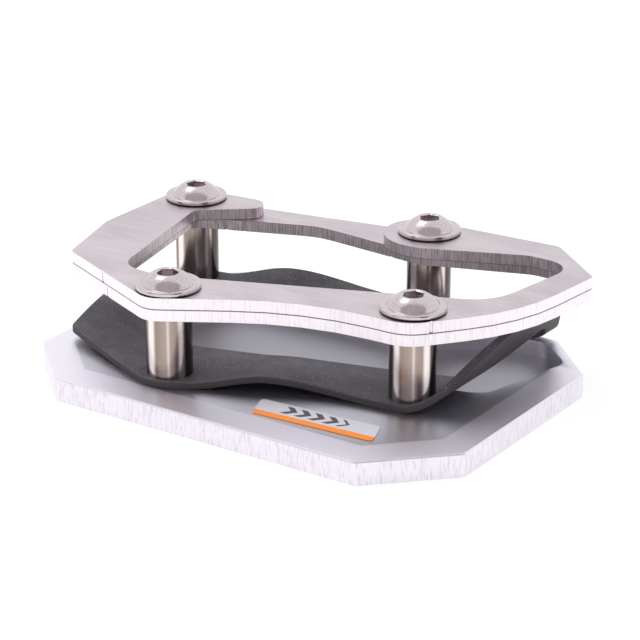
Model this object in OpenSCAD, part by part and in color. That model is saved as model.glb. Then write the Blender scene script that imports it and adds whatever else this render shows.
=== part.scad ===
// Kickstand foot enlarger: a bevelled base plate, a bent rubber pad and two stainless
// clamp plates that four screws and four spacer tubes hold above it.
// The stand's own foot lies in the pocket, between the pad and the clamp plates.
// X runs along the base plate, Y towards its rear edge, Z up from the ground face.

/* [Base plate] */
// Length of the base plate
base_l = 104.6; // [98:0.2:120]
// Depth of the base plate
base_d = 76.5; // [74:0.5:90]
// Height of its side face
base_side_h = 5; // [4.5:0.1:8]
// Rise of the bevelled rim above the side face
rim_rise = 0.5; // [0.2:0.1:1.2]
// Width of the bevelled rim
rim_w = 7; // [4:0.5:7.5]
// Length cut off each front corner
front_cut = 15.4; // [10:0.2:18]
// Length cut off each rear corner
rear_cut = 13.6; // [8:0.2:14]
// Corner radius of the two left corners
soft_corner_r = 2.5; // [1:0.5:6]
// Corner radius of all other corners
crisp_corner_r = 1; // [0.4:0.1:2]
// Break of the upper edge
edge_break = 0.25; // [0.1:0.05:0.4]
// Depth of the milled pocket
pocket_depth = 3.5; // [2:0.1:4]
// Distance from the edge of the window to the wall of the pocket
pocket_inset = 0.4; // [0:0.1:1]

/* [Screw places] */
// Front left screw, distance from the middle towards the left
front_left_x = 16.7; // [15:0.1:20]
// Front left screw, distance from the front edge of the base
front_left_inset = 12.6; // [11:0.1:15]
// Front right screw, distance from the right edge of the base
front_right_inset = 21.1; // [20:0.1:24]
// Front right screw, distance from the front edge of the base
front_right_depth = 29.75; // [27:0.05:32]
// Rear left screw, distance from the left edge of the base
rear_left_inset = 6.5; // [5.3:0.1:9]
// Rear left screw, distance from the rear edge of the base
rear_left_depth = 15.35; // [15:0.05:19]
// Rear right screw, distance from the middle towards the right
rear_right_x = 9.5; // [6:0.1:12]
// Rear right screw, distance from the rear edge of the base
rear_right_inset = 5.7; // [5.3:0.1:8]

/* [Screws] */
// Thread diameter
screw_d = 6; // [5:0.5:6]
// Length under the head
screw_l = 25; // [23:0.5:25]
// Flange diameter
flange_d = 13.6; // [12:0.1:14.5]
// Flange thickness
flange_t = 1.1; // [0.8:0.1:1.4]
// Dome diameter where it meets the flange
dome_d = 10.8; // [10:0.1:11.4]
// Diameter of the flat on top of the dome
crown_d = 5.6; // [5:0.1:6.5]
// Head height with the flange
head_h = 3.3; // [3:0.1:3.8]
// Width across flats of the socket
socket_w = 4; // [3:0.5:4]
// Depth of the socket
socket_depth = 2.1; // [1.6:0.1:2.4]
// Clearance of the plain holes round the thread, on the radius
hole_clear = 0.3; // [0.1:0.05:0.5]
// Clearance of the tapped holes round the thread, on the radius
thread_clear = 0.05; // [0.02:0.01:0.1]

/* [Spacers] */
// Outer diameter of a spacer tube
spacer_d = 9.6; // [9:0.1:10.4]
// Length of a spacer tube
spacer_h = 13.6; // [12:0.2:15]
// Break of the outer edges of a spacer tube
spacer_break = 0.3; // [0.1:0.1:0.5]

/* [Clamp plates] */
// Thickness of each clamp plate
plate_t = 2.5; // [2:0.1:3]
// Overhang of the plates past the left edge of the base
ring_left_over = 0.1; // [-0.5:0.1:2]
// Setback of the plates from the right edge of the base
ring_right_back = 0.4; // [0:0.1:3]
// Overhang of the plates past the rear edge of the base
ring_rear_over = 1.8; // [1:0.1:3]
// Distance from a front screw to the corner point in front of it
front_land = 7.7; // [7:0.1:9]
// Distance from the rear right screw to the rear edge
rear_land = 6.1; // [5:0.1:7]
// How far the lower plate's window is wider than the upper one's
ledge_w = 2; // [0.5:0.1:2.6]
// Radius of the tab that ends the upper plate at the rear right
right_tab_r = 9.5; // [8:0.1:10]
// Distance from the rear left screw to the end of the left tab
left_tab_reach = 15.6; // [12:0.2:20]
// Radius of the nicks that the laser left where each cut began
nick_r = 0.35; // [0.2:0.05:0.6]

/* [Rubber pad] */
// Thickness of the pad
pad_t = 1.5; // [1:0.1:2.6]
// How far each spacer presses into the pad
pad_squeeze = 0.1; // [0.05:0.05:0.2]
// Rise of the pad between the two front screws
front_bow = 2.6; // [0.5:0.1:3]
// Rise of the pad between the two rear screws
rear_bow = 2.9; // [0.5:0.1:4]
// Where that rise is highest, as a share of the way from left to right
rear_bow_peak = 0.38; // [0.3:0.02:0.7]
// Rise of the pad between the two left screws
left_bow = 2.2; // [0.5:0.1:4]
// Overhang of the pad's left end past the plates
pad_left_over = 0.7; // [0:0.1:2]
// Setback of the pad's right end from the right end of the plates, measured along the sheet
pad_right_back = 0.5; // [0:0.1:4]
// Distance from the front right screw to the line where the pad starts to bend up, to its right
bend_start = 1; // [0:0.1:2]
// Radius of the bend, on the pad's underside
bend_r = 7; // [5:0.5:8]
// Gap between the tip of the raised flap and the lower plate
flap_gap = 0.5; // [0.2:0.1:2]

/* [Label] */
// Length of the label
label_l = 27.6; // [20:0.2:30]
// Width of the label
label_w = 7; // [5:0.2:7.4]
// Thickness of the label
label_t = 0.15; // [0.1:0.05:0.3]
// Offset of its rear edge to the left of its front edge
label_skew = 2; // [0:0.2:5]
// Angle of the label to the front edge
label_turn = 3.5; // [0:0.5:5]
// Distance of the label's middle from the middle of the plate, to the right
label_x = 20.2; // [14:0.1:21]
// Gap between the label's middle and the inner edge of the rim
label_rim_gap = 4.6; // [4.5:0.1:8]

/* [Hidden] */
$fn = 64;
cut = 1;                       // how far a cutting solid runs past what it cuts
arc_step = 9;                  // largest angle between two points of a corner arc
pad_step = 2.8;                // longest piece of the pad's outline

// Places of the four screws
front_left = [-front_left_x, -base_d / 2 + front_left_inset];
front_right = [base_l / 2 - front_right_inset, -base_d / 2 + front_right_depth];
rear_left = [-base_l / 2 + rear_left_inset, base_d / 2 - rear_left_depth];
rear_right = [rear_right_x, base_d / 2 - rear_right_inset];
screws = [front_left, front_right, rear_left, rear_right];

// Heights of the stack, from the ground up
base_top = base_side_h + rim_rise;
spacer_z = base_top + pad_t - pad_squeeze;
lower_z = spacer_z + spacer_h;
upper_z = lower_z + plate_t;
head_z = upper_z + plate_t;

// Outer edges of the clamp plates
ring_left = -base_l / 2 - ring_left_over;
ring_right = base_l / 2 - ring_right_back;
ring_rear = base_d / 2 + ring_rear_over;

// Corners of the clamp plates' outer edge as [x, y, radius], anticlockwise from the rear left
outer_corners = [
    [ring_left, rear_left.y + 4.6, 6.2],
    [ring_left, rear_left.y - 23.7, 8],
    [front_left.x - 30.1, front_left.y + 5.7, 2.5],
    [front_left.x, front_left.y - front_land, 5],
    [front_right.x - 20.5, front_right.y - 8.2, 56],
    [front_right.x + 3.2, front_right.y - front_land, 8],
    [ring_right - 2.3, front_right.y + 11.4, 40],
    [ring_right, ring_rear - 12.3, 1.5],
    [ring_right - 14.7, ring_rear, 2.5],
    [rear_right.x - 1.1, rear_right.y + rear_land, 60]
];

// Corners of the window in the upper plate, anticlockwise from the left
window_corners = [
    [rear_left.x + 4.8, rear_left.y - 7.2, 2.5],
    [front_left.x - 16, front_left.y + 5.1, 6],
    [front_left.x - 6, front_left.y + 4.3, 8],
    [front_right.x + 10.7, front_right.y + 12.8, 11],
    [ring_right - 6, ring_rear - 8.6, 5.5],
    [ring_right - 17.4, ring_rear - 8.5, 8],
    [rear_right.x + 3.4, rear_right.y - 10, 10]
];

// The lower plate's window: the same front edge, and wider at the left and the rear
lower_window_corners = [
    [window_corners[0].x - ledge_w, window_corners[0].y + ledge_w, 3],
    [window_corners[1].x - ledge_w, window_corners[1].y - 1, 6],
    window_corners[2],
    window_corners[3],
    [window_corners[4].x, window_corners[4].y + ledge_w, 6],
    [window_corners[5].x, window_corners[5].y + ledge_w, 8],
    [rear_right.x + 1.9, rear_right.y - 7.2, 12],
    [rear_right.x - 25.6, rear_right.y - 4.7, 15]
];

// The upper plate is open at the rear, between two rounded tabs
upper_corners = concat(
    [for (i = [0:len(outer_corners) - 2]) outer_corners[i]],
    [
        [rear_right.x - 1.1, rear_right.y + rear_land, 30],
        [rear_right.x - right_tab_r, rear_right.y + rear_land - 0.6, 6],
        [rear_right.x - right_tab_r, rear_right.y - right_tab_r - 1, right_tab_r]
    ],
    [for (i = [len(window_corners) - 1:-1:0]) window_corners[i]],
    [
        [rear_left.x + left_tab_reach, rear_left.y + 1.4, 4.2],
        [rear_left.x + left_tab_reach, rear_left.y + 6.8, 5.2]
    ]
);

// The stand's foot: what the pocket and the opening of the pad follow
foot_corners = [
    [window_corners[0].x + 2, window_corners[0].y - 1.4, 6],
    [window_corners[1].x + 1.5, window_corners[1].y + 6, 6],
    [window_corners[2].x, window_corners[2].y + 9, 10],
    [window_corners[3].x - 1, window_corners[3].y - 0.8, 6],
    [window_corners[4].x + 0.2, window_corners[4].y - 4.3, 4],
    [window_corners[5].x + 3, window_corners[5].y + 3, 6],
    [window_corners[5].x - 5.2, window_corners[5].y + 2.2, 5],
    [rear_right.x + 3.4, rear_right.y - 9.2, 10],
    [rear_left.x + 16, rear_left.y + 0.6, 10]
];

// Geometry of rounded outlines
function xy(p) = [p.x, p.y];
function unit(v) = v / norm(v);
function at(c, i) = c[(i + len(c)) % len(c)];
function side(c, i) = xy(at(c, i + 1)) - xy(at(c, i));

// Angle by which the outline turns at corner i, positive to the left
function turn(c, i) =
    let (a = side(c, i - 1), b = side(c, i))
    atan2(a.x * b.y - a.y * b.x, a * b);

// Length that the arc of corner i takes from each of its two sides
function reach(c, i) = at(c, i)[2] * tan(abs(turn(c, i)) / 2);

// Share of its radius that corner i keeps where its sides are too short for the whole
function share(c, i) = min(
    1,
    norm(side(c, i - 1)) / (reach(c, i - 1) + reach(c, i)),
    norm(side(c, i)) / (reach(c, i) + reach(c, i + 1))
);

// Points of the arc at corner i, from one side to the next
function corner_arc(c, i) =
    let (
        angle = turn(c, i),
        r = at(c, i)[2] * share(c, i),
        into = unit(side(c, i - 1)),
        start = xy(at(c, i)) - into * r * tan(abs(angle) / 2),
        left = sign(angle) * [-into.y, into.x],
        steps = max(1, ceil(abs(angle) / arc_step))
    )
    [for (k = [0:steps])
        let (a = abs(angle) * k / steps)
        start + r * (sin(a) * into + (1 - cos(a)) * left)];

// Closed outline with every corner rounded by its own radius
function rounded(c) = [for (i = [0:len(c) - 1]) each corner_arc(c, i)];

// Point at distance s from corner i along the side that follows it
function on_side(c, i, s) = xy(at(c, i)) + s * unit(side(c, i));

// Outline of the base plate
base_corners = [
    [-base_l / 2, base_d / 2 - rear_cut, crisp_corner_r],
    [-base_l / 2, -base_d / 2 + front_cut - 1, soft_corner_r],
    [-base_l / 2 + front_cut, -base_d / 2, soft_corner_r],
    [base_l / 2 - front_cut, -base_d / 2, crisp_corner_r],
    [base_l / 2, -base_d / 2 + front_cut, crisp_corner_r],
    [base_l / 2, base_d / 2 - rear_cut, crisp_corner_r],
    [base_l / 2 - rear_cut, base_d / 2, crisp_corner_r],
    [-base_l / 2 + rear_cut, base_d / 2, crisp_corner_r]
];

module base_slice(inset, top) {
    linear_extrude(top) offset(delta = -inset) polygon(rounded(base_corners));
}

// Milled plate with a bevelled rim, a pocket for the stand's foot and four tapped holes
module base_plate() {
    tap_r = screw_d / 2 + thread_clear;
    countersink = 0.6;
    color("gainsboro") difference() {
        hull() {
            base_slice(0, base_side_h - edge_break);
            base_slice(edge_break, base_side_h);
            base_slice(rim_w, base_top);
        }
        translate([0, 0, base_top - pocket_depth])
            linear_extrude(pocket_depth + cut)
                offset(delta = pocket_inset) polygon(rounded(foot_corners));
        for (p = screws) translate(p) {
            translate([0, 0, -cut]) cylinder(r = tap_r, h = base_top + 2 * cut);
            translate([0, 0, -cut])
                cylinder(r1 = tap_r + countersink + cut, r2 = tap_r, h = countersink + cut);
        }
    }
}

// Corners of the rubber pad, the sheet lying flat. The pad bends up to the right of bend_x.
bend_x = front_right.x + bend_start;
function pad_shift(x) =
    x > bend_x + bend_r ? -pad_right_back : x < rear_left.x ? -pad_left_over : 0;
pad_corners = concat(
    [[ring_left - pad_left_over, rear_left.y + 3.6, 6]],
    [for (i = [1:len(outer_corners) - 1])
        outer_corners[i] + [pad_shift(outer_corners[i].x), 0, 0]],
    [[rear_left.x + 14, rear_left.y + 8.3, 14], [rear_left.x + 5, rear_left.y + 5, 8]]
);
pad_middle = [0, (window_corners[2].y + window_corners[5].y) / 2];

// Outline cut into short pieces, so that the pad can bend
function divided(pts) = [
    for (i = [0:len(pts) - 1])
        let (a = pts[i], b = pts[(i + 1) % len(pts)], n = max(1, ceil(norm(b - a) / pad_step)))
        if (norm(b - a) > 0.01)
            for (k = [0:n - 1]) a + (b - a) * k / n
];
pad_outer = divided(rounded(pad_corners));
pad_hole = rounded(foot_corners);

// Point at which the ray from the pad's middle through p meets the line from a to b
function on_ray(p, a, b) =
    let (d = p - pad_middle)
    pad_middle + d * cross(a - pad_middle, b - a) / cross(d, b - a);

// Whether that ray runs between a and b, b lying anticlockwise of a
function between(p, a, b) =
    cross(a - pad_middle, p - pad_middle) >= 0 && cross(p - pad_middle, b - pad_middle) > 0;

// Point of the opening's edge on that ray
function opening_point(p) = [
    for (i = [0:len(pad_hole) - 1])
        let (a = pad_hole[i], b = pad_hole[(i + 1) % len(pad_hole)])
        if (between(p, a, b)) on_ray(p, a, b)
][0];

// Rise of the pad at p between screws a and b: nought under both spacers, highest at the peak,
// and fading to nought at the ray through a, where the next side of the pad begins
function bow(p, a, b, h, peak = 0.5) =
    let (
        seat = spacer_d / 2 + 1,
        fade_share = 0.3,
        t = ((p - a) * unit(b - a) - seat) / (norm(b - a) - 2 * seat)
    )
    t > 0 && t < 1
        ? h * pow(sin(180 * pow(t, ln(0.5) / ln(peak))), 2)
            * min(1, norm(on_ray(p, a, b) - a) / norm(b - a) / fade_share)
        : 0;

// Rise of the pad at p, by the side of the pad that p is on
function rise(p) =
    between(p, rear_left, front_left)
        ? bow(on_ray(p, rear_left, front_left), rear_left, front_left, left_bow)
        : p.y < pad_middle.y
            ? bow(p, front_left, front_right, front_bow)
            : bow(p, rear_left, rear_right, rear_bow, rear_bow_peak);

// Angle at which a flap of length l, bent up on radius r, ends at height h, found by halving
function flap_angle(h, l, r, low = 0, high = 90) =
    let (a = (low + high) / 2)
    high - low < 0.001 ? a
        : r * (1 - cos(a)) + (l - r * a * PI / 180) * sin(a) < h ? flap_angle(h, l, r, a, high)
            : flap_angle(h, l, r, low, a);

// The sheet's place in space: flat point p, at height h above its underside.
// Right of the bend line the sheet follows an arc and then stands up straight.
flap_l = ring_right - pad_right_back - bend_x;
flap_a = flap_angle(lower_z - flap_gap - base_top, flap_l, bend_r);
function bent(p, h) =
    let (
        s = max(0, p.x - bend_x),
        a = min(s / bend_r * 180 / PI, flap_a),
        t = s - bend_r * a * PI / 180
    )
    [
        min(p.x, bend_x) + (bend_r - h) * sin(a) + t * cos(a),
        p.y,
        base_top + h + (bend_r - h) * (1 - cos(a)) + t * sin(a) + rise(p)
    ];

// Rubber sheet under the plates, bowed between its screws and bent up at its right end
module rubber_pad() {
    strips = 5;
    n = len(pad_outer);
    inner = [for (p = pad_outer) opening_point(p)];
    row = strips + 1;
    points = [for (h = [0, pad_t]) for (i = [0:n - 1]) for (j = [0:strips])
        bent(pad_outer[i] + (inner[i] - pad_outer[i]) * j / strips, h)];
    function at_pad(top, i, j) = top * n * row + (i % n) * row + j;
    faces = [
        for (i = [0:n - 1]) each [
            for (j = [0:strips - 1]) each [
                [at_pad(0, i, j), at_pad(0, i + 1, j), at_pad(0, i + 1, j + 1)],
                [at_pad(0, i, j), at_pad(0, i + 1, j + 1), at_pad(0, i, j + 1)],
                [at_pad(1, i, j), at_pad(1, i + 1, j + 1), at_pad(1, i + 1, j)],
                [at_pad(1, i, j), at_pad(1, i, j + 1), at_pad(1, i + 1, j + 1)]
            ],
            [at_pad(0, i, 0), at_pad(1, i, 0), at_pad(1, i + 1, 0)],
            [at_pad(0, i, 0), at_pad(1, i + 1, 0), at_pad(0, i + 1, 0)],
            [at_pad(0, i, strips), at_pad(1, i + 1, strips), at_pad(1, i, strips)],
            [at_pad(0, i, strips), at_pad(0, i + 1, strips), at_pad(1, i + 1, strips)]
        ]
    ];
    dent_clear = 0.1;
    color("dimgray") difference() {
        polyhedron(points, faces);
        for (p = screws) translate(p) {
            cylinder(r = screw_d / 2 + hole_clear, h = spacer_z + cut);
            translate([0, 0, spacer_z])
                cylinder(r = spacer_d / 2 + dent_clear, h = spacer_h / 2);
        }
    }
}

// One clamp plate: its outline, its screw holes and the nicks where the laser began
module clamp_plate(z, nicks) {
    difference() {
        translate([0, 0, z]) linear_extrude(plate_t) children();
        for (p = screws) translate([p.x, p.y, z - cut])
            cylinder(r = screw_d / 2 + hole_clear, h = plate_t + 2 * cut);
        for (p = nicks) translate([p.x, p.y, z - cut])
            cylinder(r = nick_r, h = plate_t + 2 * cut, $fn = 16);
    }
}

module lower_clamp_plate() {
    nicks = [
        on_side(outer_corners, 2, 16.6),
        on_side(lower_window_corners, 6, 7.5),
        on_side(lower_window_corners, 7, 21)
    ];
    color("silver") clamp_plate(lower_z, nicks) difference() {
        polygon(rounded(outer_corners));
        polygon(rounded(lower_window_corners));
    }
}

module upper_clamp_plate() {
    nicks = [on_side(outer_corners, 2, 14.6), on_side(outer_corners, 5, 5.2)];
    color("lightgray") clamp_plate(upper_z, nicks) polygon(rounded(upper_corners));
}

// Turned tube round a screw, between the pad and the lower plate
module spacer(p) {
    outer = spacer_d / 2;
    bore = screw_d / 2 + hole_clear;
    color("tan") translate([p.x, p.y, spacer_z]) rotate_extrude() polygon([
        [bore, 0], [outer - spacer_break, 0], [outer, spacer_break],
        [outer, spacer_h - spacer_break], [outer - spacer_break, spacer_h], [bore, spacer_h]
    ]);
}
module spacer_front_left() { spacer(front_left); }
module spacer_front_right() { spacer(front_right); }
module spacer_rear_left() { spacer(rear_left); }
module spacer_rear_right() { spacer(rear_right); }

// Points of the dome: the circle through its foot on the flange and its crown, centred on the axis
function dome_points(steps = 10) =
    let (
        rf = dome_d / 2,
        rc = crown_d / 2,
        rise = head_h - flange_t,
        centre = (rc * rc + rise * rise - rf * rf) / (2 * rise),
        r = norm([rf, centre]),
        a0 = atan2(-centre, rf),
        a1 = atan2(rise - centre, rc)
    )
    [for (k = [0:steps]) let (a = a0 + (a1 - a0) * k / steps)
        [r * cos(a), flange_t + centre + r * sin(a)]];

// Flanged button head screw with a hexagon socket, its thread drawn as a plain shank
module screw(p) {
    r = screw_d / 2;
    tip = 0.6;
    rim = flange_t * 0.35;
    color("whitesmoke") translate([p.x, p.y, head_z]) difference() {
        rotate_extrude() polygon(concat(
            [[0, -screw_l], [r - tip, -screw_l], [r, -screw_l + tip], [r, 0]],
            [for (a = [-90, -60, -30, 0]) [flange_d / 2 - rim + rim * cos(a), rim + rim * sin(a)]],
            [for (a = [0, 30, 60, 90])
                [flange_d / 2 - rim + rim * cos(a), flange_t - rim + rim * sin(a)]],
            dome_points(),
            [[0, head_h]]
        ));
        translate([0, 0, head_h - socket_depth])
            cylinder(d = socket_w / cos(30), h = socket_depth + cut, $fn = 6);
    }
}
module screw_front_left() { screw(front_left); }
module screw_front_right() { screw(front_right); }
module screw_rear_left() { screw(rear_left); }
module screw_rear_right() { screw(rear_right); }

// Thin label on the flat field, a parallelogram with small round corners
module label() {
    l = label_l / 2;
    w = label_w / 2;
    s = label_skew / 2;
    corner_r = 0.8;
    color("orange")
        translate([label_x, -base_d / 2 + rim_w + label_rim_gap, base_top])
            rotate(label_turn) linear_extrude(label_t) polygon(rounded([
                [-l + s, -w, corner_r], [l + s, -w, corner_r],
                [l - s, w, corner_r], [-l - s, w, corner_r]
            ]));
}

base_plate();
rubber_pad();
lower_clamp_plate();
upper_clamp_plate();
label();
spacer_front_left();
spacer_front_right();
spacer_rear_left();
spacer_rear_right();
screw_front_left();
screw_front_right();
screw_rear_left();
screw_rear_right();
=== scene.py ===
"""Kickstand foot enlarger: a bevelled base plate, a bent rubber pad and two stainless clamp plates.

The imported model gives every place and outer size. This script dresses it: plates with broken
edges, a smooth sheet of rubber, threaded flange screws, turned spacers and a printed label.
"""

import logging
import math
from dataclasses import dataclass
from enum import Enum

import bmesh
import bpy
import numpy as np
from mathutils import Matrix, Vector


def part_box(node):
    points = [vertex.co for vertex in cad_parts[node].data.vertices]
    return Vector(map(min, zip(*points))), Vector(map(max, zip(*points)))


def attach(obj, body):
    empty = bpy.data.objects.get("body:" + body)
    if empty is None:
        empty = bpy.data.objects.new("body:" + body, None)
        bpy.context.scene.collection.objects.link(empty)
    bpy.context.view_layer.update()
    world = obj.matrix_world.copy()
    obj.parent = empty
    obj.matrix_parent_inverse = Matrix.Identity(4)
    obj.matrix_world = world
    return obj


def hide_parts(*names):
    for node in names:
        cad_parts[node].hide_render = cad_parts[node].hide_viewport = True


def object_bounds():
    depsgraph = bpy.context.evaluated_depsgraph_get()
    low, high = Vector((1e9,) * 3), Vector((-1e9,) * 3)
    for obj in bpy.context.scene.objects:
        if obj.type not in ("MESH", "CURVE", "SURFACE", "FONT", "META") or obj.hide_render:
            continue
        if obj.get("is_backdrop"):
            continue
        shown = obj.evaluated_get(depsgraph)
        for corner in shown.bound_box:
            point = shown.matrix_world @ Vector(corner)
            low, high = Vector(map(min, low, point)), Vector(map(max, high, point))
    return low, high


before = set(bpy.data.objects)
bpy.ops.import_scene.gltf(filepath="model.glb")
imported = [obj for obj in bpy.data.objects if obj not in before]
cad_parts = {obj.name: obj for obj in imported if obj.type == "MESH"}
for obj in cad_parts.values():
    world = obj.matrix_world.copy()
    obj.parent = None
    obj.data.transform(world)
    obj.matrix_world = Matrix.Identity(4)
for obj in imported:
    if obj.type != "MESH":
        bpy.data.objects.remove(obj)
cad_low, cad_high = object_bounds()

MM = 0.001
BODY = "root"
# Share of the turn round a spacer, which places its painted reflection bands
TURN_ATTRIBUTE = "turn_share"
log = logging.getLogger("foot_enlarger")


class Corner(Enum):
    """The four places where a screw and a spacer stand."""

    FRONT_LEFT = "front_left"
    FRONT_RIGHT = "front_right"
    REAR_LEFT = "rear_left"
    REAR_RIGHT = "rear_right"


def linear(hex_color: str) -> tuple[float, float, float, float]:
    """Turns an sRGB hex colour into Blender's linear one.

    Args:
        hex_color: Six hex digits after a hash.

    Returns:
        Red, green, blue and alpha, linear.
    """
    s = np.array([int(hex_color[i : i + 2], 16) for i in (1, 3, 5)]) / 255
    rgb = np.where(s <= 0.04045, s / 12.92, ((s + 0.055) / 1.055) ** 2.4)
    return (*map(float, rgb), 1.0)


Fed = bpy.types.NodeSocket | float | str | tuple[float, ...]


class Kind(Enum):
    """Kinds of node: Blender's name of it, the output that is used and the settings.

    Inputs by number: SMOOTH takes value 0 from the range 1 to 2 to the range 3 to 4, which is
    0 to 1 unless given. TINT mixes colours 6 and 7 by share 0, and LEVEL numbers 2 and 3.
    """

    PLACE = ("ShaderNodeTexCoord", "Object", {})
    NORMAL = ("ShaderNodeNewGeometry", "Normal", {})
    ATTRIBUTE = ("ShaderNodeAttribute", "Fac", {})
    RAY = ("ShaderNodeLightPath", "Is Camera Ray", {})
    X = ("ShaderNodeSeparateXYZ", 0, {})
    Z = ("ShaderNodeSeparateXYZ", 2, {})
    MAPPED = ("ShaderNodeMapping", 0, {})
    CENTRED = ("ShaderNodeMapping", 0, {"vector_type": "TEXTURE"})
    NOISE = ("ShaderNodeTexNoise", 0, {})
    RAMP = ("ShaderNodeValToRGB", 0, {})
    MATH = ("ShaderNodeMath", 0, {})
    DOT = ("ShaderNodeVectorMath", "Value", {"operation": "DOT_PRODUCT"})
    SMOOTH = ("ShaderNodeMapRange", 0, {"interpolation_type": "SMOOTHSTEP"})
    LEVEL = ("ShaderNodeMix", 0, {})
    TINT = ("ShaderNodeMix", 2, {"data_type": "RGBA"})
    BUMP = ("ShaderNodeBump", 0, {})


def feed(tree: bpy.types.NodeTree, socket: bpy.types.NodeSocket, value: Fed) -> None:
    """Feeds an input.

    Args:
        tree: Node tree of a material or world.
        socket: The input.
        value: An output that is linked, or a number, a vector or a hex colour that is set.
    """
    if isinstance(value, bpy.types.NodeSocket):
        tree.links.new(value, socket)
    else:
        socket.default_value = linear(value) if isinstance(value, str) else value


def add(
    tree: bpy.types.NodeTree,
    kind: Kind,
    inputs: dict[int | str, Fed] | None = None,
    **settings: object,
) -> bpy.types.NodeSocket:
    """Adds one node with its settings and links.

    Args:
        tree: Node tree of a material or world.
        kind: Kind of the node.
        inputs: What feeds each input, by name or number.
        **settings: More of the node's own properties.

    Returns:
        The output that this kind of node is used for.
    """
    blender_name, output, shared = kind.value
    made = tree.nodes.new(blender_name)
    for name, value in {**shared, **settings}.items():
        setattr(made, name, value)
    for key, value in (inputs or {}).items():
        feed(tree, made.inputs[key], value)
    return made.outputs[output]


@dataclass(frozen=True)
class Finish:
    """What every finish shares: a principled surface on object coordinates."""

    name: str
    color: str
    roughness: float
    metallic: float = 1.0

    def material(self) -> bpy.types.Material:
        """Makes the material: the plain values first, then what the finish's nodes give.

        Returns:
            The new material.
        """
        made = bpy.data.materials.new(self.name)
        made.use_nodes = True
        tree = made.node_tree
        shader = tree.nodes["Principled BSDF"]
        plain = {
            "Base Color": self.color,
            "Roughness": self.roughness,
            "Metallic": self.metallic,
        }
        for name, value in [*plain.items(), *self.dress(tree).items()]:
            feed(tree, shader.inputs[name], value)
        return made

    def dress(self, tree: bpy.types.NodeTree) -> dict[str, Fed]:
        """Adds the finish's own nodes. A plain finish has none.

        Args:
            tree: Node tree of the material.

        Returns:
            What feeds the shader's inputs, by their names.
        """
        return {}

    @staticmethod
    def height(tree: bpy.types.NodeTree) -> bpy.types.NodeSocket:
        """Height above the base plate's underside in metres."""
        return add(tree, Kind.Z, {0: add(tree, Kind.PLACE)})

    @staticmethod
    def outward(tree: bpy.types.NodeTree) -> bpy.types.NodeSocket:
        """Normal times place in metres: positive on outer walls, negative in a window."""
        return add(tree, Kind.DOT, {0: add(tree, Kind.NORMAL), 1: add(tree, Kind.PLACE)})

    @staticmethod
    def upright(tree: bpy.types.NodeTree) -> bpy.types.NodeSocket:
        """Tells faces from walls by the size of the normal's Z.

        Args:
            tree: Node tree of the material.

        Returns:
            1 on faces that look up or down, 0 on walls.
        """
        up = add(tree, Kind.Z, {0: add(tree, Kind.NORMAL)})
        size = add(tree, Kind.MATH, {0: up}, operation="ABSOLUTE")
        return add(tree, Kind.SMOOTH, {0: size, 1: 0.45, 2: 0.75})

    @staticmethod
    def grain(
        tree: bpy.types.NodeTree, size_mm: tuple[float, float, float], detail: float = 3.0
    ) -> bpy.types.NodeSocket:
        """Noise whose grain has the given size along X, Y and Z.

        Args:
            tree: Node tree of the material.
            size_mm: Length of one grain along each axis.
            detail: Finer octaves of the noise.

        Returns:
            The noise value, about 0.5 in the middle.
        """
        scale = tuple(1 / (s * MM) for s in size_mm)
        mapped = add(tree, Kind.MAPPED, {"Vector": add(tree, Kind.PLACE), "Scale": scale})
        settings = {"Vector": mapped, "Scale": 1.0, "Detail": detail, "Roughness": 0.6}
        return add(tree, Kind.NOISE, settings)


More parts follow.
